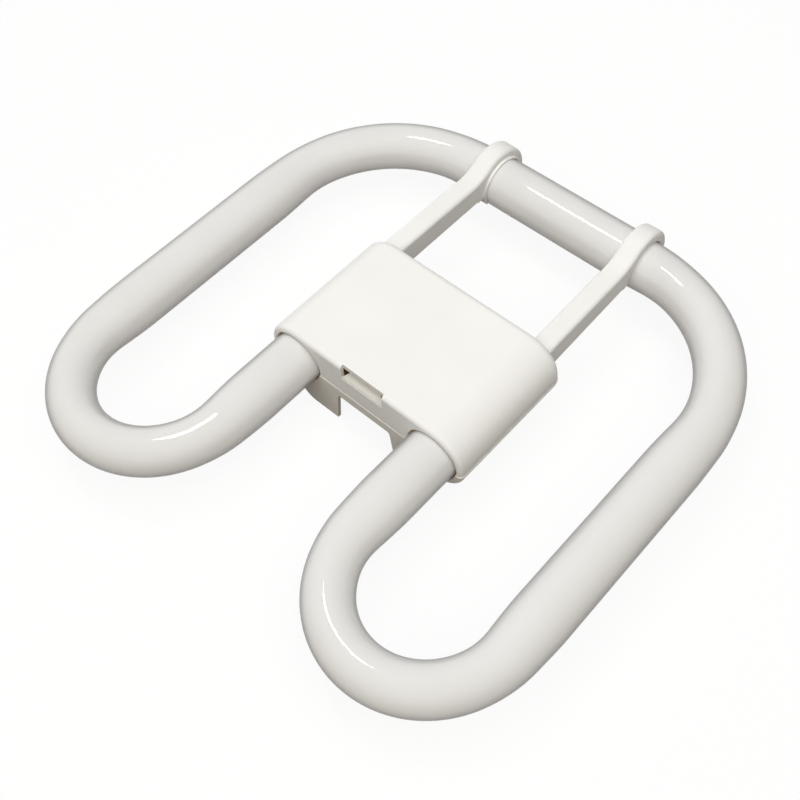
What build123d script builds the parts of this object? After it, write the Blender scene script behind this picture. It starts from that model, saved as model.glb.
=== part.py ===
# Square compact fluorescent lamp: a flat double-D glass tube in a plastic cap with four pins.
# Millimetres. X runs across the lamp, Y from the two front bends to the far run, Z up.
# The origin is under the middle of the lamp, at the height of the feet that it stands on.
import os
from math import acos, cos, degrees, radians, sin

from build123d import *

# Whole lamp
lamp_width = 141.0
lamp_length = 138.0
axis_height = 14.6

# Glass tube
tube_dia = 13.5
front_bend_dia = 11.85
front_bend_reach = 22.9
corner_dia = 12.2
corner_radius = 35.6
limb_spacing = 42.2
limb_end_round = 3.6
taper_length = 20.0
station_gap = 3.0

# Cap shells
cement_gap = 0.7
shell_wall = 1.4
face_wall = 1.1
cover_front_y = -16.3
cover_depth = 36.2
end_room = 6.7
seam_drop = 1.25
seam_step = 0.2
seam_bevel = 0.08
front_round = 1.2
back_round = 2.2
bore_clearance = 0.45
bore_round = 0.3

# Arms and clips on the far run
arm_offset = 1.8
arm_lean = 0.9
arm_drop = 3.0
arm_rise = 0.25
arm_taper = 0.65
arm_wall = 1.3
strap_width = 5.4
strap_round = 1.0
strap_blend = 12.0
clip_wall = 2.45
clip_clearance = 0.12
clip_back_angle = 35.0
clip_front_angle = 6.0
lip_reach = 0.75
lip_wall = 0.45
lip_round = 0.2
lip_angle = 25.0

# Snap hooks and their windows
window_width = 12.8
window_rise = 4.6
back_window_height = 2.0
hook_width = 9.6
hook_wall = 1.35
hook_rise = 7.0
nose_width = 12.4
nose_height = 0.25
nose_ramp = 1.4
hook_clearance = 0.15
hook_setback = 0.4

# Pin plate, skirt and recess for the lamp holder
plate_wall = 1.6
plate_drop = 4.0
recess_width = 26.2
recess_wall = 1.6
fin_wall = 0.9
fin_width = 43.0
fin_round = 4.8
finger_width = 16.4
finger_mouth = 18.6
finger_round = 1.0

# Pins
pin_dia = 2.4
pin_spacing_x = 10.0
pin_spacing_y = 6.35
pin_recess = 2.0
pin_tip_round = 0.8
pin_shank_dia = 1.9
pin_collar_dia = 3.8
pin_collar_height = 0.6
pin_stub_dia = 1.6
pin_stub_height = 1.5
pin_clearance = 0.03

# Lead wires
wire_dia = 0.7
wire_pitch = 3.2
wire_rise = 1.4
wire_bend = 1.2
wire_inner_run = 2.0
wire_outer_run = 3.8
wire_aside = 4.0

# Basing cement
cement_length = 10.0
cement_rise = 3.0
cement_reach = 6.6

# Places worked out from the sizes above
tube_radius = tube_dia / 2
limb_x = limb_spacing / 2
side_x = lamp_width / 2 - tube_radius
bend_half_width = (side_x - limb_x) / 2
bend_x = (side_x + limb_x) / 2
bend_y = -lamp_length / 2 + front_bend_dia / 2 + front_bend_reach
clip_bore = tube_radius + clip_clearance
clip_radius = clip_bore + clip_wall
lean = radians(arm_lean)
far_y = lamp_length / 2 - clip_radius * cos(lean) - (strap_width / 2 - strap_round) * sin(lean)
corner_x = side_x - corner_radius
corner_y = far_y - corner_radius
half_taper = taper_length / 2
pocket_radius = tube_radius + cement_gap
shell_radius = pocket_radius + shell_wall
base_radius = shell_radius + seam_step
bore_radius = tube_radius + bore_clearance
cover_back_y = cover_front_y + cover_depth
cover_mid_y = cover_front_y + cover_depth / 2
base_front_y = cover_front_y - seam_step
base_back_y = cover_back_y + seam_step
base_depth = cover_depth + 2 * seam_step
seam_z = axis_height - seam_drop
top_z = axis_height + shell_radius
plate_low_z = axis_height - plate_drop
plate_top_z = plate_low_z + plate_wall
inner_depth = cover_depth - 2 * face_wall
limb_end_y = cover_back_y - face_wall - end_room
arm_x = limb_x + arm_offset
arm_low_z = seam_z + arm_rise
arm_top_z = top_z - arm_drop
arm_length = far_y - cover_back_y + face_wall
blend_turn = acos((arm_top_z + strap_blend - axis_height) / (clip_radius + strap_blend))
blend_start = -(clip_radius + strap_blend) * sin(blend_turn)
collar_top_z = plate_top_z + pin_collar_height
stub_top_z = collar_top_z + pin_stub_height

front_plane = Plane.XZ.offset(-cover_front_y)
base_plane = Plane.XZ.offset(-base_front_y)
inner_plane = Plane.XZ.offset(-cover_front_y - face_wall)
strap_along = (-sin(lean), cos(lean), 0)
strap_across = (cos(lean), sin(lean), 0)
strap_plane = Plane(origin=(arm_x, far_y, 0), x_dir=strap_along, z_dir=strap_across)


def slimmed(along, mid_dia):
    """Tube diameter at a distance past the start of a taper."""
    share = min(along / taper_length, 1)
    return tube_dia - (tube_dia - mid_dia) * share * share * (3 - 2 * share)


def bend_sections(route, mid_dia):
    """Rings along the route of a bend, tapered at both ends to the slimmer tube in its middle."""
    count = round(route.length / station_gap)
    sections = []
    for step in range(count + 1):
        along = route.length * step / count
        point = route.position_at(along, PositionMode.LENGTH)
        ahead = route.tangent_at(along, PositionMode.LENGTH)
        with BuildSketch(Plane(origin=point, x_dir=(0, 0, 1), z_dir=ahead)) as ring:
            Circle(slimmed(min(along, route.length - along), mid_dia) / 2)
        sections.append(ring.sketch)
    return sections


def upper_half():
    """Keeps the part of an XZ sketch that lies above the seam."""
    with Locations((0, seam_z)):
        Rectangle(2 * lamp_width, 2 * lamp_width, align=(Align.CENTER, Align.MAX), mode=Mode.SUBTRACT)


def lower_half():
    """Keeps the part of an XZ sketch that lies below the seam."""
    with Locations((0, seam_z)):
        Rectangle(2 * lamp_width, 2 * lamp_width, align=(Align.CENTER, Align.MIN), mode=Mode.SUBTRACT)


def limb_circles(radius, mode=Mode.ADD):
    """Draws a circle round each limb of the tube, on an XZ sketch."""
    with Locations((-limb_x, axis_height), (limb_x, axis_height)):
        Circle(radius, mode=mode)


def cap_outline(radius):
    """Draws the long round-ended section of the cap, on an XZ sketch."""
    with Locations((0, axis_height)):
        SlotCenterToCenter(limb_spacing, 2 * radius)


def clip_disc(wall, front_angle):
    """Draws a disc round the far run, open below from the front angle to the back one, on a strap sketch."""
    with Locations((0, axis_height)):
        Circle(clip_bore + wall)
    reach = 4 * clip_radius
    front = radians(180 + front_angle)
    back = radians(-clip_back_angle)
    with BuildLine() as opening:
        Polyline(
            (0, axis_height),
            (reach * cos(front), axis_height + reach * sin(front)),
            (reach * cos(back), axis_height + reach * sin(back)),
            close=True,
        )
    make_face(opening.edges(), mode=Mode.SUBTRACT)


# Routes of the front and far bends of one half of the tube, with half a taper on the straight at each end
with BuildLine(Plane.XY.offset(axis_height)) as front_bend:
    Line((limb_x, bend_y + half_taper), (limb_x, bend_y))
    EllipticalCenterArc((bend_x, bend_y), bend_half_width, front_bend_reach, start_angle=180, arc_size=180)
    Line((side_x, bend_y), (side_x, bend_y + half_taper))
with BuildLine(Plane.XY.offset(axis_height)) as far_bend:
    Line((side_x, corner_y - half_taper), (side_x, corner_y))
    CenterArc((corner_x, corner_y), corner_radius, 0, 90)
    Line((corner_x, far_y), (corner_x - half_taper, far_y))

# Glass tube: one half from its end in the cap to the middle of the far run, then mirrored
with BuildPart() as discharge_tube:
    with BuildSketch(Plane(origin=(limb_x, limb_end_y, axis_height), x_dir=(0, 0, 1), z_dir=(0, -1, 0))):
        Circle(tube_radius)
    extrude(amount=limb_end_y - bend_y - half_taper)
    fillet(discharge_tube.faces().sort_by(Axis.Y)[-1].edges(), radius=limb_end_round)
    loft(bend_sections(front_bend.wire(), front_bend_dia))
    side_start_y = bend_y + half_taper
    with BuildSketch(Plane(origin=(side_x, side_start_y, axis_height), x_dir=(0, 0, 1), z_dir=(0, 1, 0))):
        Circle(tube_radius)
    extrude(amount=corner_y - half_taper - side_start_y)
    loft(bend_sections(far_bend.wire(), corner_dia))
    far_start_x = corner_x - half_taper
    with BuildSketch(Plane(origin=(far_start_x, far_y, axis_height), x_dir=(0, 0, 1), z_dir=(-1, 0, 0))):
        Circle(tube_radius)
    extrude(amount=far_start_x)
    mirror(about=Plane.YZ)

# Lip: a thin band round the far run that stands out on the strap's inner side
with BuildPart() as clip_lip:
    with BuildSketch(strap_plane.offset(-strap_width / 2 - lip_reach)):
        clip_disc(lip_wall, lip_angle)
    extrude(amount=lip_reach + strap_width / 2)
    fillet(clip_lip.edges().filter_by(GeomType.CIRCLE), radius=lip_round)

# Straps: a hollow arm from the back wall that climbs over the far run as a clip
with BuildPart() as straps:
    with BuildSketch(strap_plane.offset(-strap_width / 2)):
        clip_disc(clip_wall, clip_front_angle)
        with BuildLine():
            Polyline(
                (0, arm_low_z + arm_taper),
                (-arm_length, arm_low_z),
                (-arm_length, arm_top_z),
                (blend_start, arm_top_z),
            )
            blend = CenterArc((blend_start, arm_top_z + strap_blend), strap_blend, -90, degrees(blend_turn))
            Polyline(blend @ 1, (0, axis_height), (0, arm_low_z + arm_taper))
        make_face()
    extrude(amount=strap_width)
    side_edges = straps.edges().filter_by(Axis((0, 0, 0), strap_plane.z_dir), reverse=True)
    upper_edges = side_edges.filter_by(lambda e: e.center().Z > (axis_height + arm_top_z) / 2)
    fillet(upper_edges, radius=strap_round)
    with BuildSketch(strap_plane.offset(arm_wall - strap_width / 2)):
        with Locations((-arm_length, arm_low_z)):
            channel_height = arm_top_z - arm_low_z - arm_wall
            Rectangle(arm_length - clip_radius, channel_height, align=(Align.MIN, Align.MIN))
    extrude(amount=strap_width - 2 * arm_wall, mode=Mode.SUBTRACT)
    add(clip_lip.part)
    mirror(about=Plane.YZ)

# Upper shell of the cap, with its straps and snap windows
with BuildPart() as top_cover:
    with BuildSketch(front_plane):
        cap_outline(shell_radius)
        upper_half()
    extrude(amount=-cover_depth)
    front_edges = top_cover.faces().sort_by(Axis.Y)[0].edges()
    back_edges = top_cover.faces().sort_by(Axis.Y)[-1].edges()
    fillet(front_edges.filter_by(lambda e: e.center().Z > seam_z + seam_drop / 2), radius=front_round)
    fillet(back_edges.filter_by(lambda e: e.center().Z > seam_z + seam_drop / 2), radius=back_round)
    add(straps.part)

    # Bore of the clips
    with BuildSketch(Plane.YZ.offset(-lamp_width / 2)):
        with Locations((far_y, axis_height)):
            Circle(clip_bore)
    extrude(amount=lamp_width, mode=Mode.SUBTRACT)

    # Hollow for the tube ends and wires, bores for the limbs
    with BuildSketch(inner_plane):
        cap_outline(pocket_radius)
        upper_half()
    extrude(amount=-inner_depth, mode=Mode.SUBTRACT)
    with BuildSketch(front_plane):
        limb_circles(bore_radius)
        upper_half()
    extrude(amount=-face_wall, mode=Mode.SUBTRACT)

    bore_edges = top_cover.edges().filter_by(GeomType.CIRCLE).group_by(Axis.Y)[0]
    fillet(bore_edges, radius=bore_round)

    # Snap windows, the front one open at the top edge of its wall
    for wall_y, height in ((cover_front_y, shell_radius), (cover_back_y - face_wall, back_window_height)):
        with BuildSketch(Plane.XZ.offset(-wall_y)):
            with Locations((0, axis_height + window_rise)):
                Rectangle(window_width, height, align=(Align.CENTER, Align.MIN))
        extrude(amount=-face_wall, mode=Mode.SUBTRACT)

# Lower shell of the cap, with pin plate, recess, finned skirt and snap hooks
with BuildPart() as base_cover:
    with BuildSketch(base_plane):
        cap_outline(base_radius)
        lower_half()
    extrude(amount=-base_depth)
    front_edges = base_cover.faces().sort_by(Axis.Y)[0].edges()
    back_edges = base_cover.faces().sort_by(Axis.Y)[-1].edges()
    fillet(front_edges.filter_by(lambda e: e.center().Z < seam_z - seam_drop / 2), radius=front_round)
    fillet(back_edges.filter_by(lambda e: e.center().Z < seam_z - seam_drop / 2), radius=back_round)
    chamfer(base_cover.faces().sort_by(Axis.Z)[-1].edges(), length=seam_bevel)

    # Walls of the recess, and the fins at the front and back
    with BuildSketch(base_plane):
        Rectangle(recess_width + 2 * recess_wall, plate_top_z, align=(Align.CENTER, Align.MIN))
    extrude(amount=-base_depth)
    for wall_y in (base_front_y, base_back_y - fin_wall):
        with BuildSketch(Plane.XZ.offset(-wall_y)) as fin_section:
            Rectangle(fin_width, plate_top_z, align=(Align.CENTER, Align.MIN))
            fillet(fin_section.vertices().group_by(Axis.Y)[0], radius=fin_round)
        extrude(amount=-fin_wall)

    # Recess under the pin plate, between the sleeves of the limbs, with a finger opening at each end
    with BuildSketch(Plane.XZ.offset(-base_front_y - fin_wall)):
        Rectangle(recess_width, plate_low_z, align=(Align.CENTER, Align.MIN))
        limb_circles(base_radius, mode=Mode.SUBTRACT)
    extrude(amount=-base_depth + 2 * fin_wall, mode=Mode.SUBTRACT)
    with BuildSketch(base_plane) as finger_section:
        with BuildLine():
            Polyline(
                (-finger_mouth / 2, 0),
                (-finger_width / 2, plate_low_z),
                (finger_width / 2, plate_low_z),
                (finger_mouth / 2, 0),
                close=True,
            )
        make_face()
        fillet(finger_section.vertices().group_by(Axis.Y)[-1], radius=finger_round)
    extrude(amount=-base_depth, mode=Mode.SUBTRACT)

    # Pockets for the tube ends, and the wiring space above the pin plate
    with BuildSketch(inner_plane):
        limb_circles(pocket_radius)
        with Locations((0, plate_top_z)):
            Rectangle(limb_spacing, axis_height - plate_top_z, align=(Align.CENTER, Align.MIN))
        lower_half()
    extrude(amount=-inner_depth, mode=Mode.SUBTRACT)
    with BuildSketch(base_plane):
        limb_circles(bore_radius)
        lower_half()
    extrude(amount=-face_wall - seam_step, mode=Mode.SUBTRACT)

    # Snap hooks, standing on the pin plate with their sloped noses in the windows
    catch_z = axis_height + window_rise + hook_clearance
    for wall_y, inward in ((cover_front_y, 1), (cover_back_y, -1)):
        near_y = wall_y + inward * (face_wall + hook_clearance + hook_setback)
        with BuildSketch(Plane.XZ.offset(-near_y)):
            with Locations((0, plate_top_z)):
                Rectangle(hook_width, axis_height + hook_rise - plate_top_z, align=(Align.CENTER, Align.MIN))
        extrude(amount=-inward * hook_wall)
        with BuildSketch(Plane.XZ.offset(-near_y)):
            with Locations((0, catch_z)):
                Rectangle(hook_width, nose_height + nose_ramp, align=(Align.CENTER, Align.MIN))
        with BuildSketch(Plane.XZ.offset(-wall_y - inward * hook_clearance)):
            with Locations((0, catch_z)):
                Rectangle(nose_width, nose_height, align=(Align.CENTER, Align.MIN))
        loft()

    # Holes for the pins
    with Locations(Plane.XY.offset(plate_top_z)):
        with Locations((0, cover_mid_y)):
            with GridLocations(pin_spacing_x, pin_spacing_y, 2, 2):
                Hole(pin_shank_dia / 2 + pin_clearance, depth=plate_wall)

# Contact pins: a round pin under the plate, a shank through it, a collar on it and a stub for the wire
pins = []
for column in (-1, 1):
    for row in (-1, 1):
        pin_x = column * pin_spacing_x / 2
        pin_y = cover_mid_y + row * pin_spacing_y / 2
        with BuildPart() as contact_pin:
            for low_z, high_z, dia in (
                (pin_recess, plate_low_z, pin_dia),
                (plate_low_z, plate_top_z, pin_shank_dia),
                (plate_top_z, collar_top_z, pin_collar_dia),
                (collar_top_z, stub_top_z, pin_stub_dia),
            ):
                with BuildSketch(Plane.XY.offset(low_z)):
                    with Locations((pin_x, pin_y)):
                        Circle(dia / 2)
                extrude(amount=high_z - low_z)
            fillet(contact_pin.faces().sort_by(Axis.Z)[0].edges(), radius=pin_tip_round)
        pins.append(contact_pin)

# Lead wires: from the closed end of each limb, round to the top of a pin
wire_z = axis_height + wire_rise
wires = []
for column in (-1, 1):
    for row in (-1, 1):
        pin_x = column * pin_spacing_x / 2
        pin_y = cover_mid_y + row * pin_spacing_y / 2
        start_x = column * (limb_x + row * wire_pitch / 2)
        run_y = limb_end_y + (wire_outer_run if row > 0 else wire_inner_run)
        down_x = pin_x if row > 0 else pin_x + column * wire_aside
        route = [(start_x, limb_end_y, wire_z), (start_x, run_y, wire_z), (down_x, run_y, wire_z)]
        if row < 0:
            route.append((down_x, pin_y, wire_z))
        route.append((pin_x, pin_y, wire_z))
        route.append((pin_x, pin_y, stub_top_z))
        with BuildPart() as lead_wire:
            with BuildLine() as wire_path:
                FilletPolyline(*route, radius=wire_bend)
            with BuildSketch(Plane(origin=wire_path.line @ 0, z_dir=wire_path.line % 0)):
                Circle(wire_dia / 2)
            sweep()
        wires.append(lead_wire)

# Basing cement: fills each sleeve round the tube and spills a little towards the middle
cements = []
for side in (-1, 1):
    with BuildPart() as basing_cement:
        with BuildSketch(inner_plane):
            with Locations((side * limb_x, axis_height)):
                Circle(pocket_radius)
            with Locations((side * (limb_x + cement_reach) / 2, plate_top_z)):
                Rectangle(limb_x - cement_reach, plate_drop - plate_wall + cement_rise,
                          align=(Align.CENTER, Align.MIN))
            with Locations((side * limb_x, axis_height)):
                Circle(tube_radius, mode=Mode.SUBTRACT)
        extrude(amount=-cement_length)
    cements.append(basing_cement)

named = [("discharge_tube", discharge_tube), ("top_cover", top_cover), ("base_cover", base_cover)]
named += [(f"contact_pin_{number}", pin) for number, pin in enumerate(pins, 1)]
named += [(f"lead_wire_{number}", wire) for number, wire in enumerate(wires, 1)]
named += [(f"basing_cement_{number}", cement) for number, cement in enumerate(cements, 1)]

os.makedirs("parts", exist_ok=True)
for name, piece in named:
    piece.part.label = name
    export_step(piece.part, f"parts/{name}.step")
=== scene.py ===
from math import cos, hypot, pi, radians, sin

import bmesh
import bpy
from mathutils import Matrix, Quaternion, Vector


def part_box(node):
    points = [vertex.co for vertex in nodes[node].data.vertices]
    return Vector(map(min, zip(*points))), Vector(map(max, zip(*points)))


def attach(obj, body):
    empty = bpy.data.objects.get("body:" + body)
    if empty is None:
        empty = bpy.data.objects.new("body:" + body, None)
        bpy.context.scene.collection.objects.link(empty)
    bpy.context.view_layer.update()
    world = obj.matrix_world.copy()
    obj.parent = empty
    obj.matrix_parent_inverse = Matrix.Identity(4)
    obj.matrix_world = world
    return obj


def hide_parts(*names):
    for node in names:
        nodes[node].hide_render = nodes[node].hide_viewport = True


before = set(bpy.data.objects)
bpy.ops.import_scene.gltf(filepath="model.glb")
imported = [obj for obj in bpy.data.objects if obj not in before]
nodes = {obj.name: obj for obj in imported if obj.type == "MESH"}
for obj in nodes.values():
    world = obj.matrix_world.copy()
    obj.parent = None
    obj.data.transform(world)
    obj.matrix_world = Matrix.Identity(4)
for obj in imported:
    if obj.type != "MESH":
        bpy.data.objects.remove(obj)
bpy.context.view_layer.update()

# Square compact fluorescent lamp: a white coated glass tube bent flat into a double D,
# held in a two-piece cap of off-white plastic with four pins under it.
mm = 0.001
print("frame loaded:", len(nodes), "solids")


# Small helpers for node trees

noiseSpan = (0.3, 0.7)  # most of a noise lies between these


def startMaterial(name):
    mat = bpy.data.materials.new(name)
    mat.use_nodes = True
    tree = mat.node_tree
    shader = tree.nodes["Principled BSDF"]
    place = tree.nodes.new("ShaderNodeTexCoord").outputs["Object"]  # metres, same as the frame
    return mat, tree, shader, place


def addNoise(tree, place, size, detail, rough=0.5, warp=0.0):
    noise = tree.nodes.new("ShaderNodeTexNoise")
    noise.inputs["Scale"].default_value = 1.0 / size  # size of one blotch in metres
    noise.inputs["Detail"].default_value = detail
    noise.inputs["Roughness"].default_value = rough
    noise.inputs["Distortion"].default_value = warp
    tree.links.new(place, noise.inputs["Vector"])
    return noise.outputs["Fac"]


def addRamp(tree, value, stops):
    ramp = tree.nodes.new("ShaderNodeValToRGB")
    ramp.color_ramp.elements[0].position = stops[0][0]
    ramp.color_ramp.elements[0].color = (*stops[0][1], 1.0)
    ramp.color_ramp.elements[1].position = stops[-1][0]
    ramp.color_ramp.elements[1].color = (*stops[-1][1], 1.0)
    for position, colour in stops[1:-1]:
        ramp.color_ramp.elements.new(position).color = (*colour, 1.0)
    tree.links.new(value, ramp.inputs["Fac"])
    return ramp.outputs["Color"]


def addRange(tree, noise, low, high):
    spread = tree.nodes.new("ShaderNodeMapRange")
    spread.inputs["From Min"].default_value = noiseSpan[0]
    spread.inputs["From Max"].default_value = noiseSpan[1]
    spread.inputs["To Min"].default_value = low
    spread.inputs["To Max"].default_value = high
    tree.links.new(noise, spread.inputs["Value"])
    return spread.outputs["Result"]


def addBump(tree, height, depth, strength):
    bump = tree.nodes.new("ShaderNodeBump")
    bump.inputs["Distance"].default_value = depth
    bump.inputs["Strength"].default_value = strength
    tree.links.new(height, bump.inputs["Height"])
    return bump.outputs["Normal"]


def addMath(tree, operation, one, two, clamp=False):
    maths = tree.nodes.new("ShaderNodeMath")
    maths.operation = operation
    maths.use_clamp = clamp
    tree.links.new(one, maths.inputs[0])
    tree.links.new(two, maths.inputs[1])
    return maths.outputs["Value"]


# Finishes

glassSet = {
    "tones": [(0.35, (0.943, 0.945, 0.941)), (0.65, (0.965, 0.968, 0.969))],  # thinner coating, full coating
    "blotch": 22 * mm,
    "blotchDetail": 4.0,
    "rough": (0.50, 0.60),
    "paintedRimShade": [(0.42, 1.0), (0.55, 0.88), (0.70, 0.55), (0.85, 0.30), (1.0, 0.10)],  # painted shade: darker towards the outline as the camera sees it, for the clear wall seen edge on and the dark surroundings
    "paintedRimShadeBlend": 0.5,
    "through": 0.27,  # share of the light that the coating lets through into the hollow tube
    "throughColour": (1.0, 0.995, 0.980),
    "gloss": 0.2,
    "coat": 0.56,
    "coatIor": 1.9,
    "coatRough": 0.035,
    "wave": 9 * mm,  # slow waves left in the drawn glass
    "waveDetail": 1.0,
    "waveDepth": 0.030 * mm,
    "waveStrength": 1.0,
}


def makeGlass():
    mat, tree, shader, place = startMaterial("coatedGlass")
    cloud = addNoise(tree, place, glassSet["blotch"], glassSet["blotchDetail"])
    colour = addRamp(tree, cloud, glassSet["tones"])
    # painted shade: Layer Weight Facing darkens the base colour towards the tube's outline
    edge = tree.nodes.new("ShaderNodeLayerWeight")
    edge.inputs["Blend"].default_value = glassSet["paintedRimShadeBlend"]
    paintedRimShade = addRamp(tree, edge.outputs["Facing"], [(at, (tone, tone, tone)) for at, tone in glassSet["paintedRimShade"]])
    shaded = tree.nodes.new("ShaderNodeMix")
    shaded.data_type = "RGBA"
    shaded.blend_type = "MULTIPLY"
    shaded.inputs["Factor"].default_value = 1.0
    tree.links.new(colour, shaded.inputs["A"])
    tree.links.new(paintedRimShade, shaded.inputs["B"])
    tree.links.new(shaded.outputs["Result"], shader.inputs["Base Color"])
    tree.links.new(addRange(tree, cloud, *glassSet["rough"]), shader.inputs["Roughness"])
    wave = addNoise(tree, place, glassSet["wave"], glassSet["waveDetail"])
    normal = addBump(tree, wave, glassSet["waveDepth"], glassSet["waveStrength"])
    tree.links.new(normal, shader.inputs["Coat Normal"])
    shader.inputs["Specular IOR Level"].default_value = glassSet["gloss"]
    shader.inputs["Coat Weight"].default_value = glassSet["coat"]
    shader.inputs["Coat Roughness"].default_value = glassSet["coatRough"]
    shader.inputs["Coat IOR"].default_value = glassSet["coatIor"]
    inside = tree.nodes.new("ShaderNodeBsdfTranslucent")
    inside.inputs["Color"].default_value = (*glassSet["throughColour"], 1)
    both = tree.nodes.new("ShaderNodeMixShader")
    both.inputs["Fac"].default_value = glassSet["through"]
    tree.links.new(shader.outputs["BSDF"], both.inputs[1])
    tree.links.new(inside.outputs["BSDF"], both.inputs[2])
    tree.links.new(both.outputs["Shader"], tree.nodes["Material Output"].inputs["Surface"])
    return mat


topPlasticSet = {
    "tones": [(0.32, (0.855, 0.857, 0.840)), (0.66, (0.876, 0.880, 0.868))],  # dull, pale
    "blotch": 16 * mm,
    "rough": (0.40, 0.50),
    "gloss": 0.14,
    "grainDepth": 0.012 * mm,
}
# painted shade: darker and warmer than the top cover's plastic, for the less lit lower walls and legs of the
# base
basePlasticSet = {
    "tones": [(0.32, (0.715, 0.692, 0.637)), (0.66, (0.755, 0.742, 0.692))],  # dull, pale
    "blotch": 13 * mm,
    "rough": (0.42, 0.54),
    "gloss": 0.12,
    "grainDepth": 0.014 * mm,
}
plasticSet = {  # shared by both mouldings
    "blotchDetail": 5.0,
    "blotchWarp": 0.4,
    "grain": 0.35 * mm,
    "grainDetail": 2.0,
    "grainStrength": 0.6,
}


def makePlastic(name, settings):
    mat, tree, shader, place = startMaterial(name)
    detail, warp = plasticSet["blotchDetail"], plasticSet["blotchWarp"]
    cloud = addNoise(tree, place, settings["blotch"], detail, warp=warp)
    tree.links.new(addRamp(tree, cloud, settings["tones"]), shader.inputs["Base Color"])
    tree.links.new(addRange(tree, cloud, *settings["rough"]), shader.inputs["Roughness"])
    grain = addNoise(tree, place, plasticSet["grain"], plasticSet["grainDetail"])
    normal = addBump(tree, grain, settings["grainDepth"], plasticSet["grainStrength"])
    tree.links.new(normal, shader.inputs["Normal"])
    shader.inputs["Specular IOR Level"].default_value = settings["gloss"]
    return mat


brassSet = {
    "tones": [(0.30, (0.55, 0.39, 0.19)), (0.62, (0.80, 0.62, 0.34))],  # dull, bright
    "blotch": 1.6 * mm,
    "blotchDetail": 5.0,
    "rough": (0.22, 0.42),
    "scratch": 0.25 * mm,
    "scratchDetail": 2.0,
    "scratchDepth": 0.006 * mm,
    "scratchStrength": 0.5,
}


def makeBrass():
    mat, tree, shader, place = startMaterial("pinBrass")
    cloud = addNoise(tree, place, brassSet["blotch"], brassSet["blotchDetail"])
    tree.links.new(addRamp(tree, cloud, brassSet["tones"]), shader.inputs["Base Color"])
    tree.links.new(addRange(tree, cloud, *brassSet["rough"]), shader.inputs["Roughness"])
    scratch = addNoise(tree, place, brassSet["scratch"], brassSet["scratchDetail"])
    normal = addBump(tree, scratch, brassSet["scratchDepth"], brassSet["scratchStrength"])
    tree.links.new(normal, shader.inputs["Normal"])
    shader.inputs["Metallic"].default_value = 1.0
    return mat


wireSet = {
    "tones": [(0.30, (0.45, 0.44, 0.41)), (0.62, (0.66, 0.65, 0.62))],  # dull, bright
    "blotch": 0.9 * mm,
    "blotchDetail": 4.0,
    "blotchDepth": 0.01 * mm,
    "blotchStrength": 0.4,
    "rough": (0.25, 0.45),
}


def makeWire():
    mat, tree, shader, place = startMaterial("leadWireMetal")
    cloud = addNoise(tree, place, wireSet["blotch"], wireSet["blotchDetail"])
    tree.links.new(addRamp(tree, cloud, wireSet["tones"]), shader.inputs["Base Color"])
    tree.links.new(addRange(tree, cloud, *wireSet["rough"]), shader.inputs["Roughness"])
    normal = addBump(tree, cloud, wireSet["blotchDepth"], wireSet["blotchStrength"])
    tree.links.new(normal, shader.inputs["Normal"])
    shader.inputs["Metallic"].default_value = 1.0
    return mat


# painted light: tones lighter than the cement's own brown, so that it still reads brown in the deep shade
# inside the window
cementSet = {
    "tones": [(0.32, (0.580, 0.320, 0.100)), (0.66, (0.800, 0.470, 0.160))],  # dark, light
    "grit": 0.8 * mm,
    "gritDetail": 6.0,
    "gritRough": 0.65,
    "gritDepth": 0.12 * mm,
    "gritStrength": 0.8,
    "rough": (0.75, 0.92),
}


def makeCement():
    mat, tree, shader, place = startMaterial("basingCement")
    grit = addNoise(tree, place, cementSet["grit"], cementSet["gritDetail"], rough=cementSet["gritRough"])
    tree.links.new(addRamp(tree, grit, cementSet["tones"]), shader.inputs["Base Color"])
    tree.links.new(addRange(tree, grit, *cementSet["rough"]), shader.inputs["Roughness"])
    normal = addBump(tree, grit, cementSet["gritDepth"], cementSet["gritStrength"])
    tree.links.new(normal, shader.inputs["Normal"])
    return mat


glass = makeGlass()
topPlastic = makePlastic("topPlastic", topPlasticSet)
basePlastic = makePlastic("basePlastic", basePlasticSet)
brass = makeBrass()
wireMetal = makeWire()
cement = makeCement()
print("finishes made")


# Glass tube: rings swept along the route of one half, mirrored for the other

tubeSet = {
    "limbSpacing": 42.2 * mm,
    "limbEnd": 12.1 * mm,  # where the limbs stop inside the cap
    "endRound": 3.6 * mm,
    "bendDia": 11.85 * mm,  # glass slims a little where it was bent
    "bendReach": 22.9 * mm,
    "cornerDia": 12.2 * mm,
    "cornerRadius": 35.6 * mm,
    "taper": 20.0 * mm,
    "ringGap": 1.0 * mm,
    "ringSides": 72,
    "endRings": 8,
}


def slimmed(along, midDia, fullDia):
    share = min(max(along / tubeSet["taper"], 0.0), 1.0)
    return fullDia - (fullDia - midDia) * share * share * (3 - 2 * share)


def bendPoints(pointAt, length, midDia, fullDia):
    # route points of one bend, from half a taper before it to half a taper after it
    lead = tubeSet["taper"] / 2
    count = max(2, round(length / tubeSet["ringGap"]))
    found = []
    last = pointAt(0.0)
    travelled = lead
    for step in range(count + 1):
        point = pointAt(step / count)
        travelled += hypot(point[0] - last[0], point[1] - last[1])
        last = point
        found.append((point, travelled))
    whole = travelled + lead
    return [(point, slimmed(min(along, whole - along), midDia, fullDia)) for point, along in found]


def straightPoints(start, end, taperStart, taperEnd, fullDia):
    # taperStart and taperEnd give the diameter in the middle of the bend at that end, if there is one
    length = hypot(end[0] - start[0], end[1] - start[1])
    count = max(2, round(length / tubeSet["ringGap"]))
    lead = tubeSet["taper"] / 2
    found = []
    for step in range(count + 1):
        share = step / count
        point = (start[0] + (end[0] - start[0]) * share, start[1] + (end[1] - start[1]) * share)
        dia = fullDia
        if taperStart is not None:
            dia = min(dia, slimmed(lead - share * length, taperStart, fullDia))
        if taperEnd is not None:
            dia = min(dia, slimmed(lead - (1 - share) * length, taperEnd, fullDia))
        found.append((point, dia))
    return found


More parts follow.
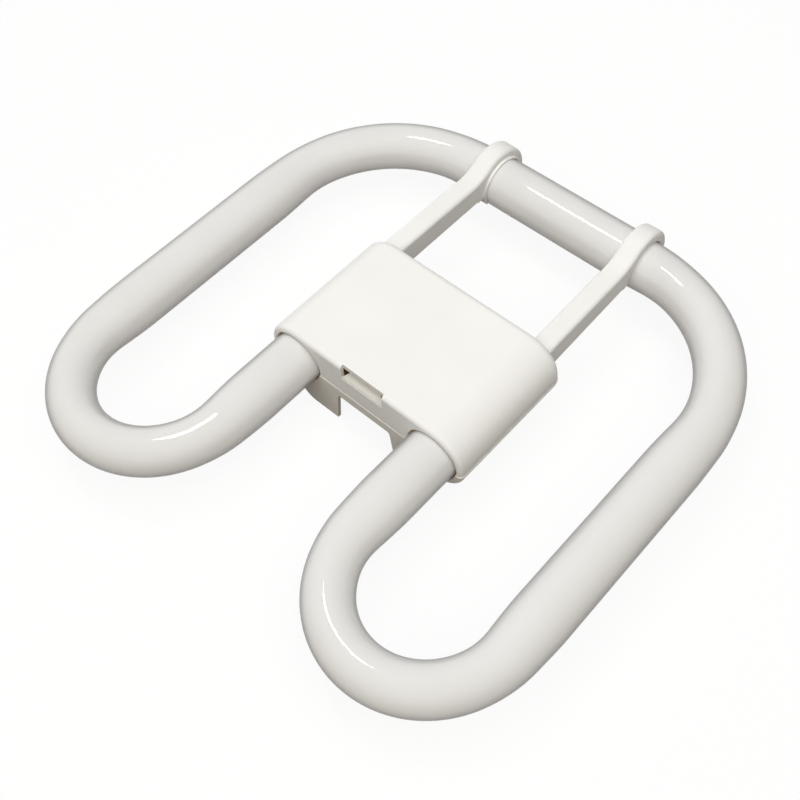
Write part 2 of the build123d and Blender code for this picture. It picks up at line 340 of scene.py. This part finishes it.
def halfRoute():
    low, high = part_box("discharge_tube")
    fullDia = high.z - low.z
    limbX = tubeSet["limbSpacing"] / 2
    sideX = high.x - fullDia / 2
    farY = high.y - fullDia / 2
    bendX = (limbX + sideX) / 2
    bendHalf = (sideX - limbX) / 2
    reach = tubeSet["bendReach"]
    bendY = low.y + tubeSet["bendDia"] / 2 + reach
    radius = tubeSet["cornerRadius"]
    cornerX, cornerY = sideX - radius, farY - radius

    def frontBend(share):
        angle = pi + pi * share
        return bendX + bendHalf * cos(angle), bendY + reach * sin(angle)

    def farCorner(share):
        angle = pi / 2 * share
        return cornerX + radius * cos(angle), cornerY + radius * sin(angle)

    bendDia, cornerDia = tubeSet["bendDia"], tubeSet["cornerDia"]
    route = straightPoints((limbX, tubeSet["limbEnd"]), (limbX, bendY), None, bendDia, fullDia)
    route += bendPoints(frontBend, pi * (bendHalf + reach) / 2, bendDia, fullDia)[1:]
    route += straightPoints((sideX, bendY), (sideX, cornerY), bendDia, cornerDia, fullDia)[1:]
    route += bendPoints(farCorner, radius * pi / 2, cornerDia, fullDia)[1:]
    route += straightPoints((cornerX, farY), (0.0, farY), cornerDia, None, fullDia)[1:]
    return route, (low.z + high.z) / 2


def makeTube():
    route, axisZ = halfRoute()
    mirrored = [((-point[0], point[1]), dia) for point, dia in reversed(route[:-1])]
    route = route + mirrored
    sides, rounding = tubeSet["ringSides"], tubeSet["endRound"]
    rings = []
    for index, (point, dia) in enumerate(route):
        before = route[max(index - 1, 0)][0]
        after = route[min(index + 1, len(route) - 1)][0]
        ahead = Vector((after[0] - before[0], after[1] - before[1], 0.0)).normalized()
        rings.append((Vector((point[0], point[1], axisZ)), ahead, dia / 2))

    def roundedEnd(place, outward, radius):
        # rings that round off a closed end, from the full tube to the flat middle
        found = []
        for step in range(1, tubeSet["endRings"] + 1):
            angle = pi / 2 * step / tubeSet["endRings"]
            inset = place - outward * rounding * (1 - sin(angle))
            found.append((inset, radius - rounding * (1 - cos(angle))))
        return found

    # the limbs stop a rounding short of their ends, and the rounded ends take over
    startPlace, startAhead, startRadius = rings[0]
    endPlace, endAhead, endRadius = rings[-1]
    kept = [ring for ring in rings[1:-1]
            if (ring[0] - startPlace).length > rounding and (ring[0] - endPlace).length > rounding]
    first = [(startPlace + startAhead * rounding, startAhead, startRadius)]
    last = [(endPlace - endAhead * rounding, endAhead, endRadius)]
    startRings = roundedEnd(startPlace, -startAhead, startRadius)
    endRings = roundedEnd(endPlace, endAhead, endRadius)
    front = [(place, startAhead, radius) for place, radius in startRings]
    back = [(place, endAhead, radius) for place, radius in endRings]
    rings = front[::-1] + first + kept + last + back

    mesh = bmesh.new()
    made = []
    for place, ahead, radius in rings:
        across = ahead.cross(Vector((0, 0, 1)))
        ring = []
        for side in range(sides):
            angle = 2 * pi * side / sides
            upward = Vector((0, 0, radius * sin(angle)))
            ring.append(mesh.verts.new(place + across * radius * cos(angle) + upward))
        made.append(ring)
    for one, two in zip(made, made[1:]):
        for side in range(sides):
            other = (side + 1) % sides
            mesh.faces.new((one[side], one[other], two[other], two[side]))
    for ring, place in ((made[0], rings[0][0]), (made[-1], rings[-1][0])):
        middle = mesh.verts.new(place)
        for side in range(sides):
            mesh.faces.new((ring[side], ring[(side + 1) % sides], middle))
    bmesh.ops.recalc_face_normals(mesh, faces=mesh.faces)
    for face in mesh.faces:
        face.smooth = True
    data = bpy.data.meshes.new("glassTube")
    mesh.to_mesh(data)
    mesh.free()
    data.materials.append(glass)
    tube = bpy.data.objects.new("glassTube", data)
    bpy.context.scene.collection.objects.link(tube)
    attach(tube, "root")
    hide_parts("discharge_tube")
    return tube


tube = makeTube()
print("glass tube:", len(tube.data.polygons), "faces")


# Carried-over solids get their finishes

nodeFinish = {"top_cover": topPlastic, "base_cover": basePlastic}
for name in nodes:
    if name.startswith("contact_pin"):
        nodeFinish[name] = brass
    elif name.startswith("lead_wire"):
        nodeFinish[name] = wireMetal
    elif name.startswith("basing_cement"):
        nodeFinish[name] = cement
for name, mat in nodeFinish.items():
    for slot in nodes[name].material_slots:
        slot.material = mat
print("finishes on", len(nodeFinish), "solids")


# Floor, world and lamps

stageSet = {
    "floorSize": 6.0,
    "floorWhite": (1.0, 1.0, 1.0),  # as the camera sees it
    "floorGlow": 1.0,  # white of the picture's page
    "floorBounce": (0.120, 0.085, 0.058),  # as it lights the lamp from below
    "shadowShare": 0.09,  # how much of the floor's own shading the camera sees
    "skyWhite": (1.0, 1.0, 1.0),  # as the camera sees it
    "skyColour": (1.0, 0.965, 0.90),  # as it lights the lamp
    "skyStrength": 0.10,
}


def whiteToEye(tree):
    # 1 where the camera sees it, directly, mirrored or refracted; 0 where it only gives light
    path = tree.nodes.new("ShaderNodeLightPath").outputs
    seen = addMath(tree, "MAXIMUM", path["Is Camera Ray"], path["Is Glossy Ray"])
    seen = addMath(tree, "MAXIMUM", seen, path["Is Transmission Ray"])
    # light that soaks through the coating isn't a refraction
    return addMath(tree, "SUBTRACT", seen, path["Is Diffuse Ray"], clamp=True)


def makeFloor():
    half = stageSet["floorSize"] / 2
    data = bpy.data.meshes.new("studioFloor")
    corners = [(-half, -half, 0), (half, -half, 0), (half, half, 0), (-half, half, 0)]
    data.from_pydata(corners, [], [(0, 1, 2, 3)])
    mat = bpy.data.materials.new("studioFloor")
    mat.use_nodes = True
    tree = mat.node_tree
    tree.nodes.clear()
    bounce = tree.nodes.new("ShaderNodeBsdfDiffuse")
    bounce.inputs["Color"].default_value = (*stageSet["floorBounce"], 1)
    paper = tree.nodes.new("ShaderNodeBsdfDiffuse")
    paper.inputs["Color"].default_value = (*stageSet["floorWhite"], 1)
    white = tree.nodes.new("ShaderNodeEmission")
    white.inputs["Strength"].default_value = stageSet["floorGlow"]
    seen = tree.nodes.new("ShaderNodeMixShader")
    seen.inputs["Fac"].default_value = 1 - stageSet["shadowShare"]
    tree.links.new(paper.outputs["BSDF"], seen.inputs[1])
    tree.links.new(white.outputs["Emission"], seen.inputs[2])
    blend = tree.nodes.new("ShaderNodeMixShader")
    tree.links.new(whiteToEye(tree), blend.inputs["Fac"])
    tree.links.new(bounce.outputs["BSDF"], blend.inputs[1])
    tree.links.new(seen.outputs["Shader"], blend.inputs[2])
    out = tree.nodes.new("ShaderNodeOutputMaterial")
    tree.links.new(blend.outputs["Shader"], out.inputs["Surface"])
    data.materials.append(mat)
    floor = bpy.data.objects.new("studioFloor", data)
    bpy.context.scene.collection.objects.link(floor)


def makeWorld():
    world = bpy.data.worlds.new("studio")
    bpy.context.scene.world = world
    world.use_nodes = True
    tree = world.node_tree
    tree.nodes.clear()
    soft = tree.nodes.new("ShaderNodeBackground")
    soft.inputs["Color"].default_value = (*stageSet["skyColour"], 1)
    soft.inputs["Strength"].default_value = stageSet["skyStrength"]
    white = tree.nodes.new("ShaderNodeBackground")
    white.inputs["Color"].default_value = (*stageSet["skyWhite"], 1)
    blend = tree.nodes.new("ShaderNodeMixShader")
    tree.links.new(whiteToEye(tree), blend.inputs["Fac"])
    tree.links.new(soft.outputs["Background"], blend.inputs[1])
    tree.links.new(white.outputs["Background"], blend.inputs[2])
    out = tree.nodes.new("ShaderNodeOutputWorld")
    tree.links.new(blend.outputs["Shader"], out.inputs["Surface"])


lampSet = [
    # towards: way out from the part to the lamp; far, wide, long: metres; mirrored: shiny faces show it
    {"name": "keyLamp", "towards": (-0.30, 0.02, 0.95), "far": 0.62, "wide": 0.068, "long": 0.135,
     "watts": 0.53, "colour": (1.0, 1.0, 0.99), "mirrored": True},
    {"name": "topPanel", "towards": (0.10, 0.04, 0.99), "far": 0.36, "wide": 0.27, "long": 0.27,
     "watts": 0.455, "colour": (0.985, 0.99, 1.0), "mirrored": False},
    {"name": "leftPanel", "towards": (-0.95, 0.22, 0.20), "far": 1.2, "wide": 1.2, "long": 0.35,
     "watts": 4.3, "colour": (0.99, 0.995, 1.0), "mirrored": False},
    {"name": "sidePanel", "towards": (0.50, -0.12, 0.86), "far": 1.2, "wide": 0.8, "long": 0.8,
     "watts": 4.8, "colour": (1.0, 0.95, 0.86), "mirrored": False},
    {"name": "frontPanel", "towards": (0.0, -0.75, 0.66), "far": 1.2, "wide": 1.0, "long": 0.6,
     "watts": 4.7, "colour": (1.0, 0.965, 0.90), "mirrored": False},
]


def makeLamps():
    for one in lampSet:
        data = bpy.data.lights.new(one["name"], "AREA")
        data.shape = "RECTANGLE"
        data.size = one["wide"]
        data.size_y = one["long"]
        data.energy = one["watts"]
        data.color = one["colour"]
        lamp = bpy.data.objects.new(one["name"], data)
        bpy.context.scene.collection.objects.link(lamp)
        towards = Vector(one["towards"]).normalized()
        lamp.location = towards * one["far"]
        lamp.rotation_mode = "QUATERNION"
        lamp.rotation_quaternion = (-towards).to_track_quat("-Z", "Y")
        lamp.visible_glossy = one["mirrored"]


makeFloor()
makeWorld()
makeLamps()
print("floor, world and", len(lampSet), "lamps")


# Camera at the viewing angle of the picture, for a square image

cameraSet = {
    "place": (109.375 * mm, -111.990 * mm, 231.841 * mm),
    "aim": (5.879 * mm, -9.853 * mm, 14.6 * mm),
    "lens": 50.664,
    "sensor": 36.0,
    "clipStart": 10 * mm,
    "roll": -4.24,  # degrees about the line of sight
}


def makeCamera():
    data = bpy.data.cameras.new("camera")
    data.lens = cameraSet["lens"]
    data.sensor_fit = "HORIZONTAL"
    data.sensor_width = cameraSet["sensor"]
    data.clip_start = cameraSet["clipStart"]
    camera = bpy.data.objects.new("camera", data)
    bpy.context.scene.collection.objects.link(camera)
    place = Vector(cameraSet["place"])
    ahead = (Vector(cameraSet["aim"]) - place).normalized()
    turn = Quaternion((0, 0, 1), radians(cameraSet["roll"]))
    camera.location = place
    camera.rotation_mode = "QUATERNION"
    camera.rotation_quaternion = ahead.to_track_quat("-Z", "Y") @ turn
    bpy.context.scene.camera = camera


makeCamera()
bpy.context.scene.view_settings.view_transform = "Standard"
print("camera set")
